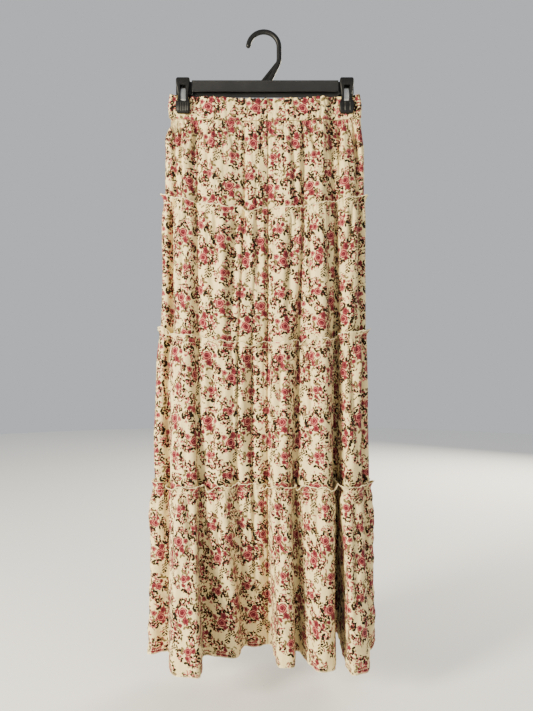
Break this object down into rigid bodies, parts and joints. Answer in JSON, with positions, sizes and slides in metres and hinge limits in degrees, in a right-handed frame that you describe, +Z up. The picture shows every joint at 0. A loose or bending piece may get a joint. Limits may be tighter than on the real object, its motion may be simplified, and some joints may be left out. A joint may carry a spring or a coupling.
{
  "type": "tiered ruffle skirt on a clip hanger",
  "caption": "Long floral skirt of gathered tiers with ruffled headings and an elastic waist, hanging by its waistband from a plastic clip hanger.",
  "frame": {"origin": "the highest point inside the hanger's hook, where it rests on a rail", "axes": "+Z up towards the rail, -Y the front of the skirt, +X to the right of someone looking at the front"},
  "size_m": [0.3855, 0.1951, 1.0605],
  "materials": {
    "waistband_cloth": "printed cotton voile gathered over elastic",
    "tier_cloth": "printed cotton voile, matt",
    "hanger_plastic": "moulded black plastic, satin",
    "spring_steel": "bright spring steel"
  },
  "bodies": {
    "root": {"waistband_front": "waistband_cloth", "waistband_back": "waistband_cloth", "tier1_front": "tier_cloth", "tier1_back": "tier_cloth", "tier2_front": "tier_cloth", "tier2_back": "tier_cloth", "tier3_front": "tier_cloth", "tier3_back": "tier_cloth", "tier4_front": "tier_cloth", "tier4_back": "tier_cloth", "hanger_hook": "hanger_plastic", "hanger_bar": "hanger_plastic", "clip_left_back": "hanger_plastic", "clip_left_front": "hanger_plastic", "clip_left_spring": "spring_steel", "clip_right_back": "hanger_plastic", "clip_right_front": "hanger_plastic", "clip_right_spring": "spring_steel"}
  },
  "joints": []
}
